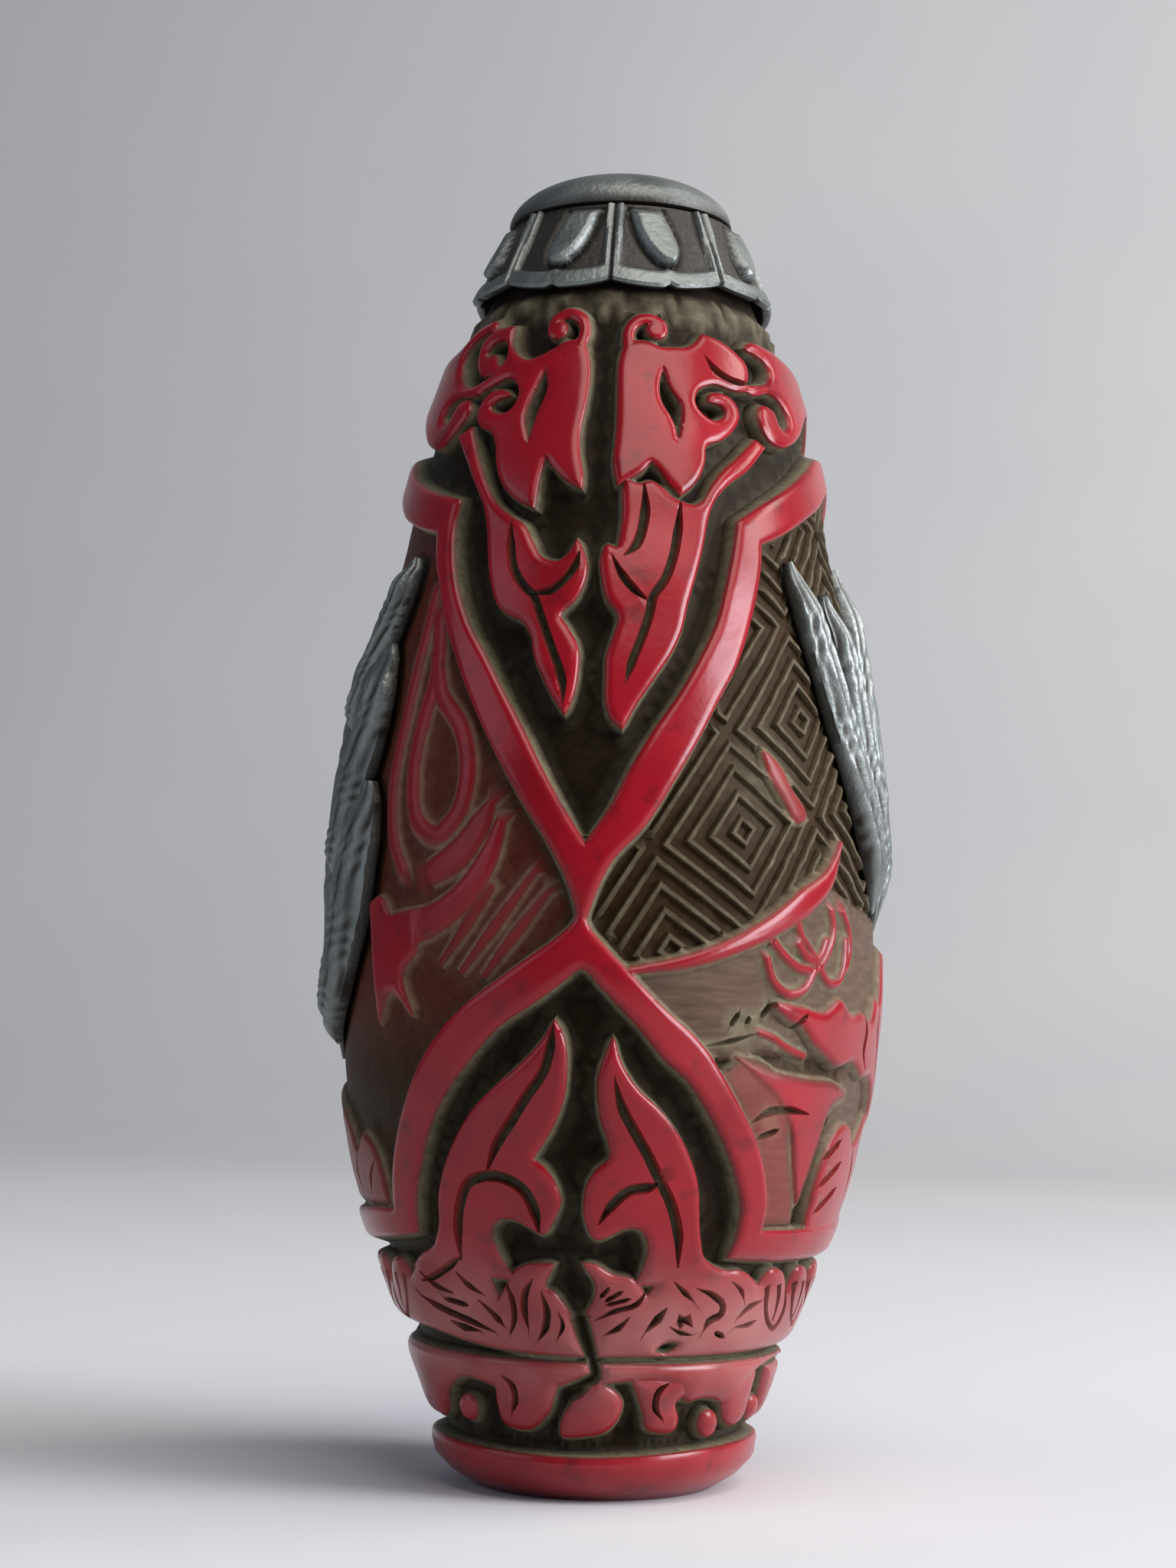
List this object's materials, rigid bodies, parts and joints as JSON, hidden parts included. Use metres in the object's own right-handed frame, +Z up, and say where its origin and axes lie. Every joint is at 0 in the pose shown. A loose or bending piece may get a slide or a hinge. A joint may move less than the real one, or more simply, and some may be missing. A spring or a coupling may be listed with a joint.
{
  "type": "snuff bottle",
  "caption": "Barrel-shaped snuff bottle in carved red lacquer, with framed panels, a petalled silver collar, silver leaf inlays and a low domed stopper.",
  "frame": {"origin": "centre of the foot's flat underside, on the surface that the bottle stands on", "axes": "+Z up through the mouth, Y along the broad way of the oval, X through the thickness; the narrow sides face -Y and +Y, the broad panels -X and +X"},
  "size_m": [0.0322, 0.0392, 0.0741],
  "materials": {
    "red_lacquer": "polished, dark in the recesses",
    "silver": "worn, dark in the grooves"
  },
  "bodies": {
    "root": {"lacquer_body": "red_lacquer", "silver_collar": "silver", "silver_stopper": "silver", "right_silver_leaves": "silver", "left_silver_leaves": "silver"}
  },
  "joints": []
}
